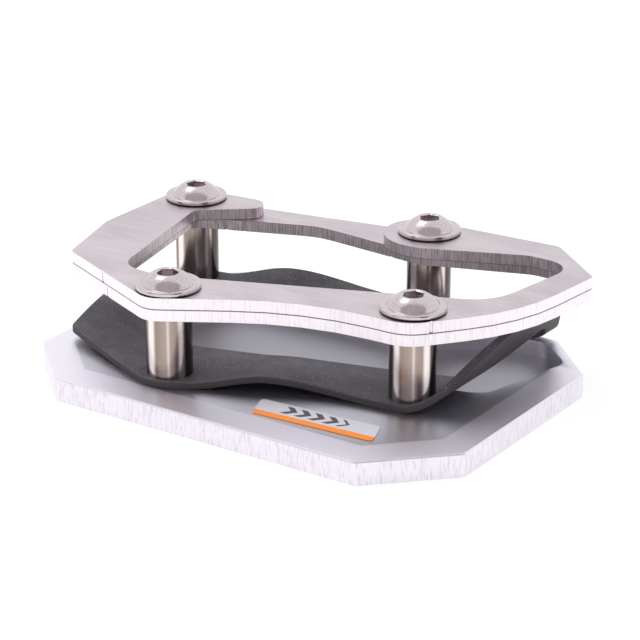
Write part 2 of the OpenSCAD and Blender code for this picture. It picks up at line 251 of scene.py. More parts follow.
@dataclass(frozen=True)
class LaserCutStainless(Finish):
    """Stainless sheet: faces with a fine brushed grain along X, pale walls with the faint
    upright furrows of the laser, stronger ones on the walls of the window, which are painted
    darker as shade, and painted shade along the seam where the two plates meet."""

    name: str = "brushed_stainless"
    color: str = "#D9CFD6"
    roughness: float = 0.32
    seam_m: float = 0.0
    seam_half_mm: float = 0.16
    face_cloud_color: str = "#C2B8BD"
    face_line_color: str = "#A89DA1"
    wall_color: str = "#FBF5F9"
    furrow_color: str = "#AFA4A9"
    # Walls of the window: painted shade, with darker furrows of the laser
    painted_shade_window_wall_color: str = "#DDD2D6"
    window_furrow_and_shade_color: str = "#8E8185"
    # Painted shade along the seam where the two plates meet
    painted_seam_shade_color: str = "#4A4042"
    # Real brushing is about 0.05 mm wide. It is drawn coarser, or it would not show
    brush_mm: tuple[float, float, float] = (12.0, 0.16, 0.16)
    furrow_mm: tuple[float, float, float] = (0.2, 0.2, 4.0)
    cloud_mm: tuple[float, float, float] = (14.0, 9.0, 9.0)
    cloud_share: float = 0.6
    line_share: float = 0.5
    furrow_share: float = 0.3
    # Share of the darker furrows and painted shade on the walls of the window
    window_furrow_and_shade_share: float = 0.8
    turn_over_m: float = 0.004
    brush_gloss: float = 0.08
    wall_roughness: float = 0.4
    relief_mm: float = 0.03
    relief_strength: float = 0.16

    def dress(self, tree: bpy.types.NodeTree) -> dict[str, Fed]:
        """Adds brushing on faces, furrows on walls, painted shade in the window and at the seam.

        Args:
            tree: Node tree of the material.

        Returns:
            What feeds the shader's inputs, by their names.
        """
        face = self.upright(tree)
        brush = self.grain(tree, self.brush_mm)
        furrow = self.grain(tree, self.furrow_mm)
        cloud = self.grain(tree, self.cloud_mm, 2.0)
        cloudy = add(tree, Kind.SMOOTH, {0: cloud, 1: 0.3, 2: 0.7, 4: self.cloud_share})
        plain = add(tree, Kind.TINT, {0: cloudy, 6: self.color, 7: self.face_cloud_color})
        line = add(tree, Kind.SMOOTH, {0: brush, 1: 0.45, 2: 0.75, 4: self.line_share})
        plain = add(tree, Kind.TINT, {0: line, 6: plain, 7: self.face_line_color})
        streak = add(tree, Kind.SMOOTH, {0: furrow, 1: 0.42, 2: 0.75, 4: self.furrow_share})
        wall = add(tree, Kind.TINT, {0: streak, 6: self.wall_color, 7: self.furrow_color})
        # Walls of the window: stronger furrows over a wall painted darker as shade
        window_furrows_and_shade = add(tree, Kind.SMOOTH, {0: furrow, 1: 0.4, 2: 0.68, 4: self.window_furrow_and_shade_share})
        inner = add(tree, Kind.TINT, {0: window_furrows_and_shade, 6: self.painted_shade_window_wall_color, 7: self.window_furrow_and_shade_color})
        over = self.turn_over_m
        outer = add(tree, Kind.SMOOTH, {0: self.outward(tree), 1: -over, 2: over})
        wall = add(tree, Kind.TINT, {0: outer, 6: inner, 7: wall})
        # Painted shade in a narrow band at the height of the seam
        off = add(tree, Kind.MATH, {0: self.height(tree), 1: self.seam_m}, operation="SUBTRACT")
        off = add(tree, Kind.MATH, {0: off}, operation="ABSOLUTE")
        half = self.seam_half_mm * MM
        seam = add(tree, Kind.SMOOTH, {0: off, 1: half * 0.4, 2: half, 3: 1.0, 4: 0.0})
        wall = add(tree, Kind.TINT, {0: seam, 6: wall, 7: self.painted_seam_shade_color})
        dull = self.roughness + self.brush_gloss
        gloss = add(tree, Kind.SMOOTH, {0: brush, 1: 0.3, 2: 0.7, 3: self.roughness, 4: dull})
        pattern = add(tree, Kind.LEVEL, {0: face, 2: furrow, 3: brush})
        depth = {"Distance": self.relief_mm * MM, "Strength": self.relief_strength}
        return {
            "Base Color": add(tree, Kind.TINT, {0: face, 6: wall, 7: plain}),
            "Roughness": add(tree, Kind.LEVEL, {0: face, 2: self.wall_roughness, 3: gloss}),
            "Normal": add(tree, Kind.BUMP, {"Height": pattern, **depth}),
        }


@dataclass(frozen=True)
class MilledAluminium(Finish):
    """Milled and tumbled aluminium: a pale satin rim, a greyer field with a fine brushed grain,
    smooth walls and floor in the pocket, painted darker as shade, and outer walls with the
    upright marks of the cutter."""

    name: str = "milled_aluminium"
    color: str = "#F3F0FA"
    roughness: float = 0.44
    field_m: float = 0.0
    field_color: str = "#D2D1DC"
    # Pocket walls, painted darker than the outer walls as shade
    painted_shade_pocket_wall_color: str = "#CFCCD3"
    # Pocket floor, painted darker than the field as shade
    painted_shade_pocket_floor_color: str = "#B6B5BE"
    floor_top_m: float = 0.004
    wall_color: str = "#F3EDF6"
    mark_color: str = "#C6C0CC"
    # Real cutter marks are about 0.1 mm apart. They are drawn coarser, or they would not show
    mark_mm: tuple[float, float, float] = (0.3, 0.3, 2.5)
    grain_mm: tuple[float, float, float] = (0.2, 9.0, 0.2)
    satin_mm: tuple[float, float, float] = (0.35, 0.35, 0.35)
    field_from_mm: tuple[float, float] = (0.06, 0.02)
    turn_over_m: tuple[float, float] = (0.001, 0.006)
    mark_share: float = 0.7
    field_roughness: tuple[float, float] = (0.32, 0.4)
    wall_roughness: float = 0.38
    relief_mm: float = 0.01
    relief_strength: float = 0.06

    def dress(self, tree: bpy.types.NodeTree) -> dict[str, Fed]:
        """Adds the field, the satin rim, painted shade in the pocket and marks on outer walls.

        Args:
            tree: Node tree of the material.

        Returns:
            What feeds the shader's inputs, by their names.
        """
        face = self.upright(tree)
        height = self.height(tree)
        below, above = (self.field_m - depth * MM for depth in self.field_from_mm)
        field = add(tree, Kind.SMOOTH, {0: height, 1: below, 2: above})
        inside, outside = self.turn_over_m
        outer = add(tree, Kind.SMOOTH, {0: self.outward(tree), 1: inside, 2: outside})
        marks = self.grain(tree, self.mark_mm, 4.0)
        grain = self.grain(tree, self.grain_mm)
        satin = self.grain(tree, self.satin_mm, 2.0)
        streak = add(tree, Kind.SMOOTH, {0: marks, 1: 0.45, 2: 0.72, 4: self.mark_share})
        marked = add(tree, Kind.TINT, {0: streak, 6: self.wall_color, 7: self.mark_color})
        # Pocket walls take the painted shade colour and no cutter marks
        wall = add(tree, Kind.TINT, {0: outer, 6: self.painted_shade_pocket_wall_color, 7: marked})
        # Below floor_top_m the pocket floor takes the painted shade colour
        floor_top = self.floor_top_m
        above_floor = add(tree, Kind.SMOOTH, {0: height, 1: floor_top, 2: floor_top + MM})
        rim = add(tree, Kind.TINT, {0: above_floor, 6: self.painted_shade_pocket_floor_color, 7: self.color})
        flat = add(tree, Kind.TINT, {0: field, 6: rim, 7: self.field_color})
        glossy, dull = self.field_roughness
        fine = add(tree, Kind.SMOOTH, {0: grain, 1: 0.3, 2: 0.7, 3: glossy, 4: dull})
        gloss = add(tree, Kind.LEVEL, {0: field, 2: self.roughness, 3: fine})
        pattern = add(tree, Kind.LEVEL, {0: field, 2: satin, 3: grain})
        pattern = add(tree, Kind.LEVEL, {0: face, 2: marks, 3: pattern})
        depth = {"Distance": self.relief_mm * MM, "Strength": self.relief_strength}
        return {
            "Base Color": add(tree, Kind.TINT, {0: face, 6: wall, 7: flat}),
            "Roughness": add(tree, Kind.LEVEL, {0: face, 2: self.wall_roughness, 3: gloss}),
            "Normal": add(tree, Kind.BUMP, {"Height": pattern, **depth}),
        }


@dataclass(frozen=True)
class SheetRubber(Finish):
    """Black sheet rubber: matt, with a fine grain, pale dust on its upper side and a
    greyer die-cut edge."""

    name: str = "sheet_rubber"
    color: str = "#433F47"
    roughness: float = 0.62
    metallic: float = 0.0
    cloud_color: str = "#5A555E"
    edge_color: str = "#4A4246"
    edge_dark_color: str = "#342D31"
    dust_color: str = "#9A9698"
    grain_mm: tuple[float, float, float] = (0.35, 0.35, 0.35)
    cloud_mm: tuple[float, float, float] = (9.0, 7.0, 7.0)
    # Real dust is about 0.05 mm. It is drawn coarser, or it would not show
    dust_mm: tuple[float, float, float] = (0.3, 0.3, 0.3)
    dust_share: float = 0.8
    relief_mm: float = 0.05
    relief_strength: float = 0.5

    def dress(self, tree: bpy.types.NodeTree) -> dict[str, Fed]:
        """Adds dust, the greyer edge and the grain.

        Args:
            tree: Node tree of the material.

        Returns:
            What feeds the shader's inputs, by their names.
        """
        face = self.upright(tree)
        grain = self.grain(tree, self.grain_mm, 4.0)
        cloud = self.grain(tree, self.cloud_mm)
        dust = self.grain(tree, self.dust_mm, 1.0)
        specks = add(tree, Kind.SMOOTH, {0: dust, 1: 0.63, 2: 0.72, 4: self.dust_share})
        cloudy = add(tree, Kind.SMOOTH, {0: cloud, 1: 0.3, 2: 0.7})
        plain = add(tree, Kind.TINT, {0: cloudy, 6: self.color, 7: self.cloud_color})
        dusty = add(tree, Kind.TINT, {0: specks, 6: plain, 7: self.dust_color})
        edge = add(tree, Kind.TINT, {0: grain, 6: self.edge_color, 7: self.edge_dark_color})
        depth = {"Distance": self.relief_mm * MM, "Strength": self.relief_strength}
        return {
            "Base Color": add(tree, Kind.TINT, {0: face, 6: edge, 7: dusty}),
            "Normal": add(tree, Kind.BUMP, {"Height": grain, **depth}),
        }


@dataclass(frozen=True)
class TurnedSteel(Finish):
    """Drawn steel tube with a warm nickel tint: upright bands of painted reflection round the
    tube, light and dark, and very fine rings of the lathe tool."""

    name: str = "turned_steel"
    color: str = "#B8A99E"
    roughness: float = 0.2
    # Real tool marks are about 0.1 mm apart. They are drawn coarser, or they would not show
    ring_mm: tuple[float, float, float] = (30.0, 30.0, 0.25)
    ring_gloss: float = 0.06
    relief_mm: float = 0.01
    relief_strength: float = 0.12
    # Painted reflections: light and dark bands by the share of the turn, 0.25 toward the camera
    painted_reflection_bands: tuple[tuple[float, str], ...] = (
        (0.0, "#7D706B"),
        (0.075, "#6E625D"),
        (0.1, "#F3E9E5"),
        (0.135, "#F7EFEC"),
        (0.16, "#97887F"),
        (0.235, "#AD9D95"),
        (0.25, "#DCD0CA"),
        (0.265, "#AA9A92"),
        (0.31, "#A0918A"),
        (0.33, "#F5ECE8"),
        (0.36, "#EFE4DF"),
        (0.38, "#5C504C"),
        (0.5, "#4E4441"),
        (0.62, "#A79A94"),
        (0.7, "#E6DCD7"),
        (0.78, "#7A6D67"),
        (1.0, "#7D706B"),
    )

    def dress(self, tree: bpy.types.NodeTree) -> dict[str, Fed]:
        """Adds the painted reflection bands by the share of the turn, and the rings as bump.

        Args:
            tree: Node tree of the material.

        Returns:
            What feeds the shader's inputs, by their names.
        """
        turn = add(tree, Kind.ATTRIBUTE, attribute_name=TURN_ATTRIBUTE)
        # Painted reflection: colour by the share of the turn round the tube
        tint = add(tree, Kind.RAMP, {0: turn})
        stops = tint.node.color_ramp.elements
        for number, (place, color) in enumerate(self.painted_reflection_bands):
            stop = stops[number] if number < 2 else stops.new(place)
            stop.position = place
            stop.color = linear(color)
        rings = self.grain(tree, self.ring_mm, 2.0)
        dull = self.roughness + self.ring_gloss
        gloss = add(tree, Kind.SMOOTH, {0: rings, 1: 0.3, 2: 0.7, 3: self.roughness, 4: dull})
        depth = {"Distance": self.relief_mm * MM, "Strength": self.relief_strength}
        relief = add(tree, Kind.BUMP, {"Height": rings, **depth})
        return {"Base Color": tint, "Roughness": gloss, "Normal": relief}


@dataclass(frozen=True)
class PolishedSteel(Finish):
    """Tumble-polished stainless screw: nearly a mirror, with faint clouds from handling and
    painted shade in the narrow gap under its flange."""

    name: str = "polished_stainless"
    color: str = "#D3C9CD"
    roughness: float = 0.15
    seat_m: float = 0.0
    # Painted shade under the flange, up to gap_mm above the seat
    gap_mm: float = 0.25
    painted_gap_shade_color: str = "#2A2220"
    gap_fade_mm: float = 0.1
    speck_color: str = "#8A7E83"
    # Real pits are about 0.05 mm. They are drawn coarser, or they would not show
    speck_mm: tuple[float, float, float] = (0.3, 0.3, 0.3)
    speck_share: float = 0.35
    cloud_mm: tuple[float, float, float] = (1.6, 1.6, 1.6)
    cloud_gloss: float = 0.09
    relief_mm: float = 0.01
    relief_strength: float = 0.08

    def dress(self, tree: bpy.types.NodeTree) -> dict[str, Fed]:
        """Adds faint clouds to the gloss, the specks that tumbling leaves and painted gap shade.

        Args:
            tree: Node tree of the material.

        Returns:
            What feeds the shader's inputs, by their names.
        """
        cloud = self.grain(tree, self.cloud_mm, 4.0)
        dull = self.roughness + self.cloud_gloss
        gloss = add(tree, Kind.SMOOTH, {0: cloud, 1: 0.3, 2: 0.7, 3: self.roughness, 4: dull})
        # Painted shade below gap_mm above the seat, fading out over gap_fade_mm
        top = self.seat_m + self.gap_mm * MM
        faded = top + self.gap_fade_mm * MM
        clear = add(tree, Kind.SMOOTH, {0: self.height(tree), 1: top, 2: faded})
        specks = self.grain(tree, self.speck_mm, 2.0)
        share = add(tree, Kind.SMOOTH, {0: specks, 1: 0.45, 2: 0.7, 4: self.speck_share})
        speckled = add(tree, Kind.TINT, {0: share, 6: self.color, 7: self.speck_color})
        depth = {"Distance": self.relief_mm * MM, "Strength": self.relief_strength}
        return {
            "Base Color": add(tree, Kind.TINT, {0: clear, 6: self.painted_gap_shade_color, 7: speckled}),
            "Roughness": gloss,
            "Normal": add(tree, Kind.BUMP, {"Height": specks, **depth}),
        }


@dataclass(frozen=True)
class PrintedFilm(Finish):
    """Glossy printed film: an orange band along the front edge, a silver grey field and a row
    of plain dark chevrons."""

    name: str = "printed_film"
    color: str = "#D2CFD8"
    roughness: float = 0.3
    metallic: float = 0.0
    middle: tuple[float, float, float] = (0.0, 0.0, 0.0)
    turn_deg: float = 3.5
    width_mm: float = 7.0
    band_mm: float = 1.9
    band_color: str = "#FB8A02"
    ink_color: str = "#2C2731"
    chevron_pitch_mm: float = 3.2
    chevron_half_mm: float = 1.7
    chevron_reach_mm: float = 7.2

    def dress(self, tree: bpy.types.NodeTree) -> dict[str, Fed]:
        """Adds the print: u runs along the label and v across it, in mm from its middle.

        A chevron is inked where u plus the distance from the field's middle, wrapped by the
        pitch, is under half a pitch.

        Args:
            tree: Node tree of the material.

        Returns:
            What feeds the shader's inputs, by their names.
        """
        on_label = {
            "Vector": add(tree, Kind.PLACE),
            "Location": self.middle,
            "Rotation": (0.0, 0.0, math.radians(self.turn_deg)),
            "Scale": (MM, MM, MM),
        }
        u = add(tree, Kind.X, {0: add(tree, Kind.CENTRED, on_label)})
        v = u.node.outputs[1]
        pitch = self.chevron_pitch_mm
        band_edge = -self.width_mm / 2 + self.band_mm
        middle_v = (self.width_mm / 2 + band_edge) / 2
        band = add(tree, Kind.MATH, {0: v, 1: band_edge}, operation="LESS_THAN")
        across = add(tree, Kind.MATH, {0: v, 1: middle_v}, operation="SUBTRACT")
        across = add(tree, Kind.MATH, {0: across}, operation="ABSOLUTE")
        along = add(tree, Kind.MATH, {0: u, 1: across}, operation="ADD")
        wrapped = add(tree, Kind.MATH, {0: along, 1: pitch}, operation="FLOORED_MODULO")
        ink = add(tree, Kind.MATH, {0: wrapped, 1: pitch / 2}, operation="LESS_THAN")
        from_middle = add(tree, Kind.MATH, {0: along}, operation="ABSOLUTE")
        limits = ((across, self.chevron_half_mm), (from_middle, self.chevron_reach_mm))
        for distance, limit in limits:
            near = add(tree, Kind.MATH, {0: distance, 1: limit}, operation="LESS_THAN")
            ink = add(tree, Kind.MATH, {0: ink, 1: near}, operation="MULTIPLY")
        field = add(tree, Kind.TINT, {0: ink, 6: self.color, 7: self.ink_color})
        return {"Base Color": add(tree, Kind.TINT, {0: band, 6: field, 7: self.band_color})}


@dataclass(frozen=True)
class PaintedFloor(Finish):
    """Matt white paint that glows a little, so it is white to the camera and keeps shadows."""

    name: str = "white_floor"
    color: str = "#A8A8AA"
    roughness: float = 0.9
    metallic: float = 0.0
    glow: float = 0.68

    def dress(self, tree: bpy.types.NodeTree) -> dict[str, Fed]:
        """Gives the paint its glow, with no node of its own.

        Args:
            tree: Node tree of the material.

        Returns:
            What feeds the shader's inputs, by their names.
        """
        return {"Emission Color": "#FFFFFF", "Emission Strength": self.glow}


def mesh_piece(
    name: str, points: np.ndarray, faces: list[np.ndarray], sharp_deg: float = 40.0
) -> bpy.types.Object:
    """Makes a mesh object at the origin from arrays, with smooth faces and sharp edges.

    Args:
        name: Name of the piece.
        points: Points, n by 3, in metres.
        faces: Arrays of faces, each of one corner count, as indices of points.
        sharp_deg: Angle from which an edge stays sharp.

    Returns:
        The new object, linked to the scene.
    """
    counts = np.concatenate([np.full(len(f), f.shape[1]) for f in faces])
    corners = np.concatenate([f.ravel() for f in faces]).astype(np.int32)
    mesh = bpy.data.meshes.new(name)
    mesh.vertices.add(len(points))
    mesh.vertices.foreach_set("co", points.astype(np.float32).ravel())
    mesh.loops.add(len(corners))
    mesh.loops.foreach_set("vertex_index", corners)
    mesh.polygons.add(len(counts))
    starts = np.concatenate([[0], np.cumsum(counts)[:-1]]).astype(np.int32)
    mesh.polygons.foreach_set("loop_start", starts)
    mesh.update(calc_edges=True)
    mesh.validate()
    mesh.polygons.foreach_set("use_smooth", np.ones(len(mesh.polygons), bool))
    mesh.set_sharp_from_angle(angle=math.radians(sharp_deg))
    made = bpy.data.objects.new(name, mesh)
    bpy.context.scene.collection.objects.link(made)
    return made


def band_faces(rows: int, columns: int, closed: bool) -> np.ndarray:
    """Quads between neighbouring rows of a grid whose columns close into rings.

    Args:
        rows: Number of rows.
        columns: Number of points in each row.
        closed: True if the last row joins the first one.

    Returns:
        Faces, four indices each, row after row.
    """
    r = np.arange(rows if closed else rows - 1)[:, None]
    c = np.arange(columns)[None, :]
    after, beside = (r + 1) % rows, (c + 1) % columns
    quads = [r * columns + c, r * columns + beside, after * columns + beside, after * columns + c]
    return np.stack(np.broadcast_arrays(*quads), axis=-1).reshape(-1, 4)


def place_piece(
    piece: bpy.types.Object, finish: bpy.types.Material, node: str
) -> bpy.types.Object:
    """Gives a piece its finish, its body and the CAD node that it stands for.

    Args:
        piece: The finished object.
        finish: Its material.
        node: The CAD node that the piece replaces.

    Returns:
        The same object.
    """
    piece.data.materials.clear()
    piece.data.materials.append(finish)
    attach(piece, BODY)
    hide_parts(node)
    log.info("%s stands for %s, %d faces", piece.name, node, len(piece.data.polygons))
    return piece


@dataclass
class CutPlate:
    """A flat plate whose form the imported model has: a copy of it, merged, with broken edges."""

    node: str
    piece: str
    slot: str
    edge_mm: float = 0.18
    merge_mm: float = 0.002
    flat_deg: float = 0.4
    bevel_from_deg: float = 28.0
    bevel_segments: int = 2

    def build(self, finish: bpy.types.Material) -> bpy.types.Object:
        """Copies the node's mesh, merges it and rounds its edges.

        Args:
            finish: Material of the piece.

        Returns:
            The plate.
        """
        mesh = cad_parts[self.node].data.copy()
        mesh.name = self.piece
        work = bmesh.new()
        work.from_mesh(mesh)
        bmesh.ops.remove_doubles(work, verts=work.verts, dist=self.merge_mm * MM)
        bmesh.ops.dissolve_limit(
            work, angle_limit=math.radians(self.flat_deg), verts=work.verts, edges=work.edges
        )
        work.to_mesh(mesh)
        work.free()
        mesh.polygons.foreach_set("use_smooth", np.ones(len(mesh.polygons), bool))
        mesh.set_sharp_from_angle(angle=math.radians(self.bevel_from_deg))
        piece = bpy.data.objects.new(self.piece, mesh)
        bpy.context.scene.collection.objects.link(piece)
        bevel = piece.modifiers.new("broken_edges", "BEVEL")
        bevel.width = self.edge_mm * MM
        bevel.segments = self.bevel_segments
        bevel.limit_method = "ANGLE"
        bevel.angle_limit = math.radians(self.bevel_from_deg)
        bevel.harden_normals = True
        return place_piece(piece, finish, self.node)


def screw_place(corner: Corner) -> np.ndarray:
    """Middle of a screw in the plane, in metres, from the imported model."""
    low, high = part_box(f"screw_{corner.value}")
    return np.array([(low.x + high.x) / 2, (low.y + high.y) / 2])


def cross(u: np.ndarray, v: np.ndarray) -> np.ndarray:
    """Cross product of plane vectors, whose x and y are in the last axis."""
    return u[..., 0] * v[..., 1] - u[..., 1] * v[..., 0]


def rounded_outline(corners: np.ndarray, arc_points: int = 12) -> np.ndarray:
    """Closed outline through given corners, each rounded by its own radius.

    The arc of a corner starts radius times tan(turn / 2) before it. A corner whose sides are
    too short for its arc keeps a share of its radius.

    Args:
        corners: Rows of x, y and radius, anticlockwise.
        arc_points: Points of each arc.

    Returns:
        Points of the outline, n by 2.
    """
    place, radius = corners[:, :2], corners[:, 2]
    side = np.roll(place, -1, axis=0) - place
    length = np.linalg.norm(side, axis=1)
    way = side / length[:, None]
    into = np.roll(way, 1, axis=0)
    turn = np.arctan2(cross(into, way), np.einsum("ij,ij->i", into, way))
    reach = radius * np.tan(np.abs(turn) / 2)
    before = np.roll(length, 1) / (np.roll(reach, 1) + reach)
    after = length / (reach + np.roll(reach, -1))
    kept = radius * np.minimum(1, np.minimum(before, after))
    start = place - into * (kept * np.tan(np.abs(turn) / 2))[:, None]
    left = np.sign(turn)[:, None] * np.stack([-into[:, 1], into[:, 0]], axis=-1)
    angle = np.abs(turn)[:, None, None] * np.linspace(0, 1, arc_points)[None, :, None]
    arcs = start[:, None] + kept[:, None, None] * (
        np.sin(angle) * into[:, None] + (1 - np.cos(angle)) * left[:, None]
    )
    return arcs.reshape(-1, 2)


def radius_along(outline: np.ndarray, middle: np.ndarray, ray: np.ndarray) -> np.ndarray:
    """Distance from a middle to a closed outline, along each ray.

    A ray of direction d meets the side from a along e at the distance
    cross(a - middle, e) / cross(d, e).

    Args:
        outline: Points of the outline, n by 2.
        middle: Point that the rays start in.
        ray: Directions of the rays, m by 2, of length 1.

    Returns:
        One distance for each ray.
    """
    parallel, past_end = 1e-12, 1e-6
    a = (outline - middle)[None]
    e = (np.roll(outline, -1, axis=0) - outline)[None]
    d = ray[:, None]
    slant = cross(d, e)
    slant = np.where(np.abs(slant) < parallel, parallel, slant)
    distance, along = cross(a, e) / slant, cross(a, d) / slant
    hit = (distance > 0) & (along >= -past_end) & (along <= 1 + past_end)
    return np.where(hit, distance, 0).max(axis=1)


@dataclass
class RubberPad:
    """The sheet under the clamp plates: an opening for the stand's foot, a rise between each
    two screws and a straight flap that stands up at its right end."""

    thickness_mm: float = 1.5
    edge_mm: float = 0.25
    edge_points: int = 4
    front_bow_mm: float = 1.9
    front_peak: float = 0.36
    rear_bow_mm: float = 2.9
    rear_peak: float = 0.38
    left_bow_mm: float = 2.2
    fade_share: float = 0.45
    inner_rise: float = 0.2
    seat_mm: float = 5.8
    left_over_mm: float = 0.7
    right_over_mm: float = 1.2
    bend_start_mm: float = 1.0
    bend_radius_mm: float = 8.5
    flap_gap_mm: float = 0.5
    rays: int = 1500
    across: int = 26

    def outlines(self) -> tuple[np.ndarray, np.ndarray, np.ndarray]:
        """Outlines of the flat sheet. Each corner stands off a screw or a side of the lower plate.

        Returns:
            The outer edge, the opening and the middle of the rays, in mm.
        """
        fl, fr, rl, rr = (screw_place(c) / MM for c in Corner)
        low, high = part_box("lower_clamp_plate")
        left = low.x / MM - self.left_over_mm
        plate_right, rear = high.x / MM, high.y / MM
        right = plate_right + self.right_over_mm
        outer = [
            # Left side, down to its front corner
            (left, rl[1] + 3.6, 6),
            (left, rl[1] - 23.7, 8),
            (fl[0] - 30.1 - self.left_over_mm, fl[1] + 5.7, 2.5),
            # Front edge, drawn in between the two lobes round the screws
            (fl[0], fl[1] - 6.9, 10),
            (fr[0] - 20.5, fr[1] - 8.2, 56),
            (fr[0] + 3.2, fr[1] - 5.9, 8),
            # Flap
            (right - 2.3, fr[1] + 11.4, 40),
            (right, rear - 12.3, 1.5),
            (plate_right - 14.7, rear, 2.5),
            # Rear edge, past both screws
            (rr[0] - 1.1, rr[1] + 6.1, 60),
            (rl[0] + 14, rl[1] + 8.3, 14),
            (rl[0] + 5, rl[1] + 5, 8),
        ]
        opening = [
            # Left side and front edge
            (rl[0] + 6.8, rl[1] - 8.6, 6),
            (fl[0] - 14.5, fl[1] + 11.1, 6),
            (fl[0] - 6, fl[1] + 13.3, 10),
            (fr[0] + 6.5, fr[1] + 14.5, 9),
            # Its end in the flap
            (plate_right - 8.6, rear - 11.4, 4),
            (plate_right - 14.4, rear - 5.5, 6),
            (plate_right - 22.6, rear - 6.3, 5),
            # Rear edge, round the rear right screw
            (rr[0] + 3.4, rr[1] - 9.2, 10),
            (rl[0] + 16, rl[1] + 0.6, 10),
        ]
        # Rays start between the front left screw and the opening's rear edge
        middle = np.array([0, (fl[1] + rear - 4.2) / 2])
        return rounded_outline(np.array(outer)), rounded_outline(np.array(opening)), middle

    def bow(
        self,
        flat: np.ndarray,
        ray: np.ndarray,
        a: np.ndarray,
        b: np.ndarray,
        middle: np.ndarray,
        rise: float,
        peak: float = 0.5,
    ) -> np.ndarray:
        """Rise between screws a and b: the squared sine of the way from seat to seat.

        The way's share is first raised to the power that puts the peak where it should be.
        Near the ray through screw a the rise fades out.

        Args:
            flat: Points of the flat sheet, in mm.
            ray: Direction of each point's ray.
            a: Place of the first screw.
            b: Place of the second screw.
            middle: Where the rays start.
            rise: Rise at the peak in mm.
            peak: Share of the way at which the rise is highest.

        Returns:
            Rise of each point.
        """
        span = b - a
        length = float(np.linalg.norm(span))
        t = ((flat - a) @ (span / length) - self.seat_mm) / (length - 2 * self.seat_mm)
        t = np.clip(t, 0, 1) ** (math.log(0.5) / math.log(peak))
        gap = a - middle
        reach = cross(gap, span) / cross(ray, span)
        from_a = np.linalg.norm(ray * reach[..., None] - gap, axis=-1) / length
        fade = np.minimum(1, from_a / self.fade_share)
        return rise * np.sin(np.pi * t) ** 2 * fade**2 * (3 - 2 * fade)

    def rise(self, flat: np.ndarray, ray: np.ndarray, middle: np.ndarray) -> np.ndarray:
        """Rise of each point, by the side of the pad that it is on.

        Args:
            flat: Points of the flat sheet, in mm.
            ray: Direction of each point's ray.
            middle: Where the rays start.

        Returns:
            Rise of each point in mm.
        """
        fl, fr, rl, rr = (screw_place(c) / MM for c in Corner)
        gap, side = rl - middle, fl - rl
        reach = cross(gap, side) / cross(ray, side)
        on_line = middle + ray * reach[..., None]
        along = (on_line - rl) @ side / (side @ side)
        left = (along > 0) & (along < 1) & (reach > 0)
        return np.where(
            left,
            self.bow(on_line, ray, rl, fl, middle, self.left_bow_mm),
            np.where(
                flat[..., 1] < middle[1],
                self.bow(flat, ray, fl, fr, middle, self.front_bow_mm, self.front_peak),
                self.bow(flat, ray, rl, rr, middle, self.rear_bow_mm, self.rear_peak),
            ),
        )

    def flap_angle(self, length: float, height: float) -> float:
        """Angle of the flap, at which r (1 - cos a) + (length - r a) sin a is the height.

        Args:
            length: Length of the sheet right of the bend line, in mm.
            height: Height of the flap's tip above the pad's seat, in mm.

        Returns:
            The smallest such angle in radians.
        """
        tries = 9001
        a = np.linspace(0, np.pi / 2, tries)
        r = self.bend_radius_mm
        reached = r * (1 - np.cos(a)) + (length - r * a) * np.sin(a)
        return float(a[np.argmax(reached >= height)])

    def build(self, finish: bpy.types.Material) -> bpy.types.Object:
        """Carries a section with rounded edges round the ring, then bows and bends the sheet.

        A point of the flat sheet lies on the ray at angle a, between the opening's radius and
        the outline's radius. Right of the bend line x0, its underside follows an arc of radius
        R up to the flap's angle f and then a straight line: with s = x - x0, w = min(s / R, f)
        and t = s - R w, a point at height h goes to x0 + (R - h) sin w + t cos w and to
        h + (R - h) (1 - cos w) + t sin w above the base.

        Args:
            finish: Material of the piece.

        Returns:
            The pad.
        """
        base_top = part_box("base_plate")[1].z / MM
        plate_low, plate_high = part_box("lower_clamp_plate")
        outline, opening, middle = self.outlines()
        angles = np.linspace(0, 2 * np.pi, self.rays, endpoint=False)
        ray = np.stack([np.cos(angles), np.sin(angles)], axis=-1)
        outer = radius_along(outline, middle, ray)
        inner = radius_along(opening, middle, ray)

        e, thick = self.edge_mm, self.thickness_mm
        quarter = np.linspace(0, np.pi / 2, self.edge_points)
        inset, lift = e * (1 - np.cos(quarter)), e * (1 - np.sin(quarter))
        between = np.linspace(0, 1, self.across)[1:-1]
        ones, zeros, none = np.ones_like(quarter), np.zeros_like(quarter), 0 * between
        # Section from the outer edge's foot, up, inwards over the top, down and back below
        share = np.concatenate([ones, ones, between[::-1], zeros, zeros, between])
        offset = np.concatenate([-inset[::-1], -inset, none, inset[::-1], inset, none])
        height = np.concatenate(
            [lift[::-1], thick - lift, thick + none, thick - lift[::-1], lift, none]
        )
        radius = inner[:, None] * (1 - share) + outer[:, None] * share + offset
        flat = middle + ray[:, None, :] * radius[..., None]

        bend_x = screw_place(Corner.FRONT_RIGHT)[0] / MM + self.bend_start_mm
        flap = plate_high.x / MM + self.right_over_mm - bend_x
        angle = self.flap_angle(flap, plate_low.z / MM - self.flap_gap_mm - base_top)
        s = np.maximum(flat[..., 0] - bend_x, 0)
        w = np.minimum(s / self.bend_radius_mm, angle)
        t = s - self.bend_radius_mm * w
        arm = self.bend_radius_mm - height
        rays = np.broadcast_to(ray[:, None, :], flat.shape)
        rise = self.rise(flat, rays, middle) * (self.inner_rise + (1 - self.inner_rise) * share)
        points = np.stack(
            [
                np.minimum(flat[..., 0], bend_x) + arm * np.sin(w) + t * np.cos(w),
                flat[..., 1],
                base_top + height + arm * (1 - np.cos(w)) + t * np.sin(w) + rise,
            ],
            axis=-1,
        )
        quads = band_faces(self.rays, len(share), True)
        piece = mesh_piece("rubber_sheet", points.reshape(-1, 3) * MM, [quads], sharp_deg=60)
        return place_piece(piece, finish, "rubber_pad")


